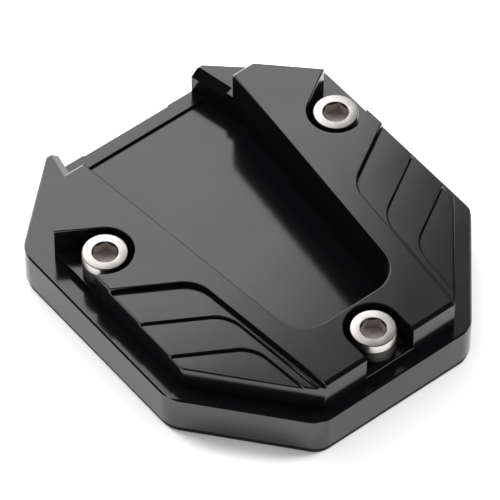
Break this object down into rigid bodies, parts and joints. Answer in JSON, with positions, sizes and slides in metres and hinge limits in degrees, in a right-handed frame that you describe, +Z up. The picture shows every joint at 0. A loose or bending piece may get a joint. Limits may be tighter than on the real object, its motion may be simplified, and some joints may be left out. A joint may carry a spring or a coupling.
{
  "type": "kickstand foot enlarger",
  "caption": "Two-plate clamp-on pad that enlarges the foot of a motorcycle side stand, with a slot for the stand's leg, stepped terraces and counterbored cap screws.",
  "frame": {"origin": "middle of the outline at the underside of the base plate", "axes": "+Z up out of the clamp plate, +Y towards the open end of the leg slot, +X to the right seen from above"},
  "size_m": [0.084, 0.095, 0.0196],
  "materials": {
    "black_base": "black anodised, satin",
    "black_clamp": "black anodised, satin",
    "screw_steel": "turned, bright"
  },
  "bodies": {
    "root": {"base_plate": "black_base", "clamp_plate": "black_clamp", "clamp_screws": "screw_steel"}
  },
  "joints": []
}
